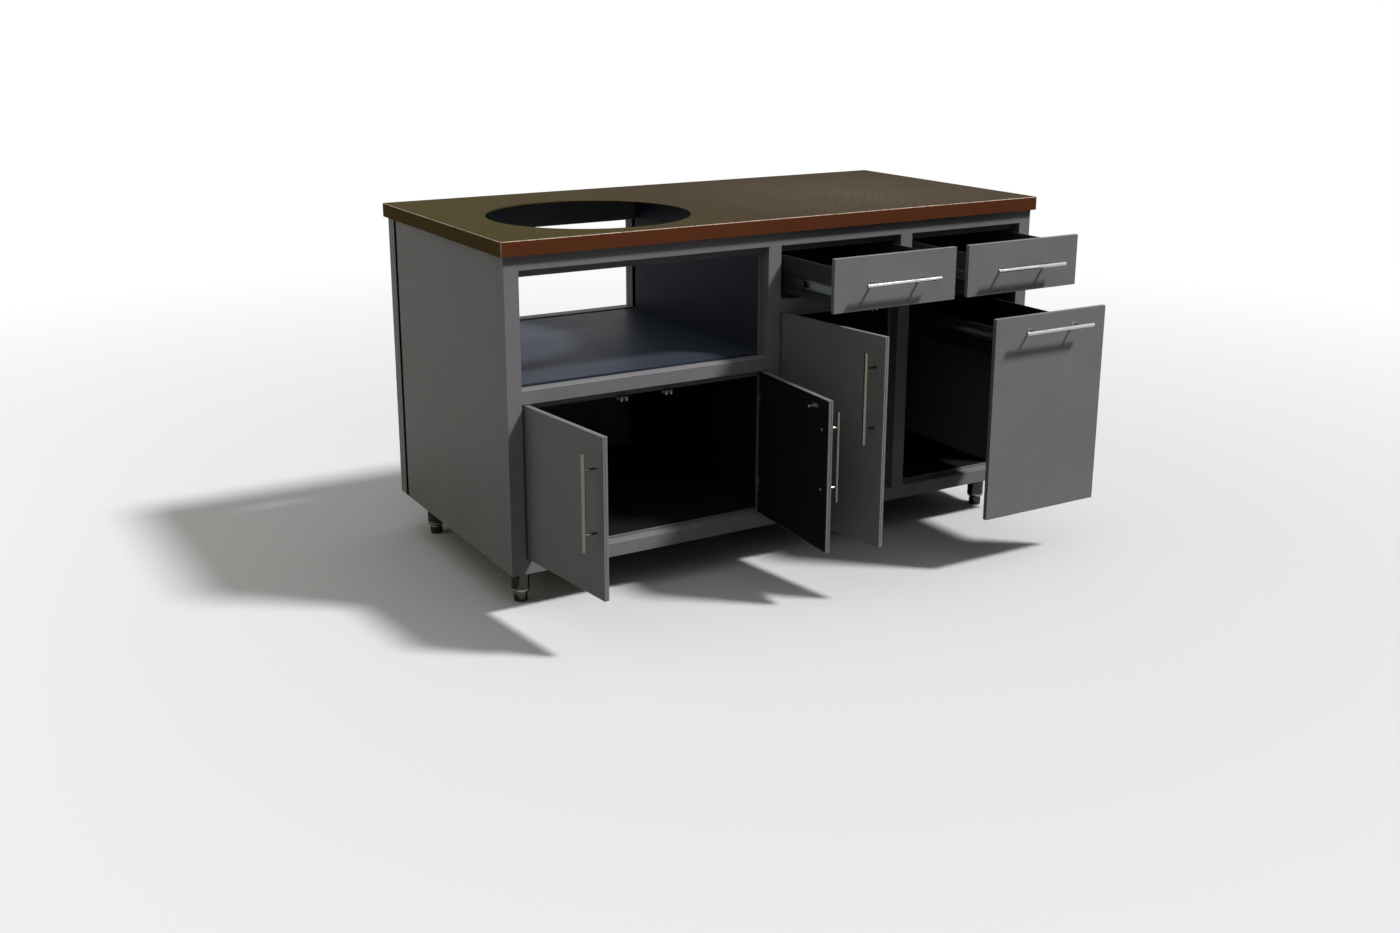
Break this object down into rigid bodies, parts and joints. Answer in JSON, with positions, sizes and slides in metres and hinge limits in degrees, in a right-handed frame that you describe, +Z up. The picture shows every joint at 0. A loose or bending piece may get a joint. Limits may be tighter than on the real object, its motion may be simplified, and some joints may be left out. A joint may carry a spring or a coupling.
{
  "type": "outdoor kitchen island",
  "caption": "Powder coated steel island with a cut-out counter for a round grill, an open niche, hinged doors, shallow drawers and a deep pull-out.",
  "frame": {"origin": "on the floor, below the middle of the cabinet body; the feet stand at z = 0", "axes": "+X along the front to the right as seen from the front, +Y to the back, +Z up"},
  "size_m": [1.61, 1.151, 0.914],
  "materials": {
    "counter": "copper brown hammered powder coat",
    "frame": "satin grey powder coat",
    "interior": "satin dark grey powder coat",
    "legs": "polished",
    "handles": "satin",
    "slides": "zinc plated",
    "hardware": "zinc plated",
    "catch": "zinc plated, with two rollers"
  },
  "bodies": {
    "cabinet": {"counter_top": "counter", "counter_stiffeners": "frame", "front_stiles": "frame", "front_rails": "frame", "inner_rails": "frame", "rear_stiles": "frame", "rear_rails": "frame", "side_panel_left": "frame", "side_panel_right": "frame", "side_liners": "interior", "partition_left": "interior", "partition_right": "interior", "niche_shelf": "interior", "floor_pans": "interior", "rear_panel_left": "frame", "rear_panel_right": "frame", "stop_bars": "frame", "base_runners": "frame", "legs": "legs", "catches": "catch", "slide_outers": "slides", "hinge_frame_leaves": "hardware"},
    "foot_front_left": {"foot_front_left": "legs"},
    "foot_front_right": {"foot_front_right": "legs"},
    "foot_rear_left": {"foot_rear_left": "legs"},
    "foot_rear_right": {"foot_rear_right": "legs"},
    "door_left_body": {"door_left": "frame", "handle_left": "handles", "screws_left": "hardware", "hinge_leaves_left": "hardware", "strike_left": "hardware"},
    "door_right_body": {"door_right": "frame", "handle_right": "handles", "screws_right": "hardware", "hinge_leaves_right": "hardware", "strike_right": "hardware"},
    "door_mid_body": {"door_mid": "frame", "handle_mid": "handles", "screws_mid": "hardware", "hinge_leaves_mid": "hardware", "strike_mid": "hardware"},
    "drawer_a_body": {"drawer_a_front": "frame", "drawer_a_box": "interior", "drawer_a_handle": "handles", "drawer_a_screws": "hardware", "drawer_a_slide_inner": "slides"},
    "drawer_a_mid_body": {"drawer_a_slide_mid": "slides"},
    "drawer_b_body": {"drawer_b_front": "frame", "drawer_b_box": "interior", "drawer_b_handle": "handles", "drawer_b_screws": "hardware", "drawer_b_slide_inner": "slides"},
    "drawer_b_mid_body": {"drawer_b_slide_mid": "slides"},
    "deep_body": {"deep_front": "frame", "deep_box": "interior", "deep_channels": "interior", "deep_handle": "handles", "deep_screws": "hardware", "deep_slide_inner": "slides"},
    "deep_mid_body": {"deep_slide_mid": "slides"}
  },
  "joints": [
    {"name": "foot_front_left_screw", "type": "slide", "parent": "cabinet", "child": "foot_front_left", "axis": [0, 0, -1], "range_m": [0, 0.025]},
    {"name": "foot_front_right_screw", "type": "slide", "parent": "cabinet", "child": "foot_front_right", "axis": [0, 0, -1], "range_m": [0, 0.025]},
    {"name": "foot_rear_left_screw", "type": "slide", "parent": "cabinet", "child": "foot_rear_left", "axis": [0, 0, -1], "range_m": [0, 0.025]},
    {"name": "foot_rear_right_screw", "type": "slide", "parent": "cabinet", "child": "foot_rear_right", "axis": [0, 0, -1], "range_m": [0, 0.025]},
    {"name": "door_left_hinge", "type": "hinge", "parent": "cabinet", "child": "door_left_body", "pos_m": [-0.7475, -0.3755, 0.341], "axis": [0, 0, -1], "range_deg": [-83.5, 6.5]},
    {"name": "door_right_hinge", "type": "hinge", "parent": "cabinet", "child": "door_right_body", "pos_m": [-0.0835, -0.3755, 0.341], "axis": [0, 0, 1], "range_deg": [-86, 4]},
    {"name": "door_mid_hinge", "type": "hinge", "parent": "cabinet", "child": "door_mid_body", "pos_m": [-0.0265, -0.3755, 0.341], "axis": [0, 0, -1], "range_deg": [-82, 8]},
    {"name": "drawer_a_slide", "type": "slide", "parent": "cabinet", "child": "drawer_a_body", "axis": [0, -1, 0], "range_m": [-0.225, 0.275]},
    {"name": "drawer_a_mid_slide", "type": "slide", "parent": "cabinet", "child": "drawer_a_mid_body", "axis": [0, -1, 0], "range_m": [-0.1125, 0.1375]},
    {"name": "drawer_b_slide", "type": "slide", "parent": "cabinet", "child": "drawer_b_body", "axis": [0, -1, 0], "range_m": [-0.225, 0.275]},
    {"name": "drawer_b_mid_slide", "type": "slide", "parent": "cabinet", "child": "drawer_b_mid_body", "axis": [0, -1, 0], "range_m": [-0.1125, 0.1375]},
    {"name": "deep_slide", "type": "slide", "parent": "cabinet", "child": "deep_body", "axis": [0, -1, 0], "range_m": [-0.34, 0.16]},
    {"name": "deep_mid_slide", "type": "slide", "parent": "cabinet", "child": "deep_mid_body", "axis": [0, -1, 0], "range_m": [-0.17, 0.08]}
  ],
  "couplings": [
    {"joint": "drawer_a_mid_slide", "follows": "drawer_a_slide", "ratio": 0.5},
    {"joint": "drawer_b_mid_slide", "follows": "drawer_b_slide", "ratio": 0.5},
    {"joint": "deep_mid_slide", "follows": "deep_slide", "ratio": 0.5}
  ]
}
